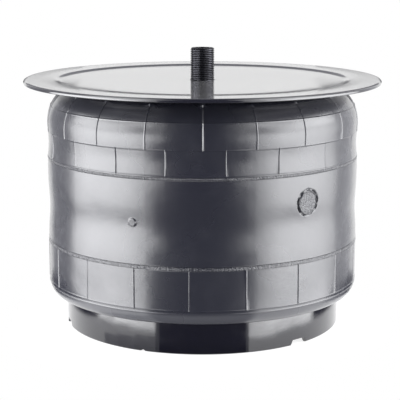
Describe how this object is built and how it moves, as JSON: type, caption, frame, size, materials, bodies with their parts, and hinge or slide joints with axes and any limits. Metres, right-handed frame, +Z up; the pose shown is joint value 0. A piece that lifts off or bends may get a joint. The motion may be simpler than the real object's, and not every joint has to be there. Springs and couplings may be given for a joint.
{
  "type": "air suspension bellows",
  "caption": "Rolling-lobe air spring: a rubber sleeve between a flange plate with a hollow mounting stud and a drawn steel piston that the sleeve rolls down.",
  "frame": {"origin": "on the piston's axis in the plane of its foot", "axes": "+Z up along the stroke to the mounting stud, -Y towards the side that the picture shows"},
  "size_m": [0.3, 0.3, 0.232],
  "materials": {
    "black_paint": "gloss",
    "black_phosphate": "satin",
    "pressed_steel": "satin",
    "turned_steel": "satin",
    "bead_wire": "satin",
    "sleeve_rubber": "gloss",
    "stop_rubber": "matte",
    "seal_rubber": "satin",
    "zinc_plate": "satin"
  },
  "bodies": {
    "piston_group": {"piston_shell": "black_paint", "piston_seat_plate": "black_paint", "piston_base_plate": "black_paint", "centre_tube": "pressed_steel", "tube_insert": "turned_steel", "mounting_bush": "turned_steel", "bump_stop": "stop_rubber", "bump_stop_plate": "pressed_steel", "seal_ring": "seal_rubber", "flat_washer": "zinc_plate", "lock_washer": "zinc_plate", "centre_bolt": "zinc_plate", "lower_bead_core": "bead_wire", "bellows_sleeve": "sleeve_rubber"},
    "plate_group": {"top_plate": "black_paint", "threaded_stud": "black_phosphate", "backing_plate": "pressed_steel", "upper_seat_ring": "pressed_steel", "upper_bead_core": "bead_wire"}
  },
  "joints": [
    {"name": "stroke", "type": "slide", "parent": "piston_group", "child": "plate_group", "axis": [0, 0, 1], "range_m": [-0.045, 0.11], "stiffness_N_per_m": 3000, "springref_m": 0.0075, "deforming": ["bellows_sleeve"]}
  ]
}
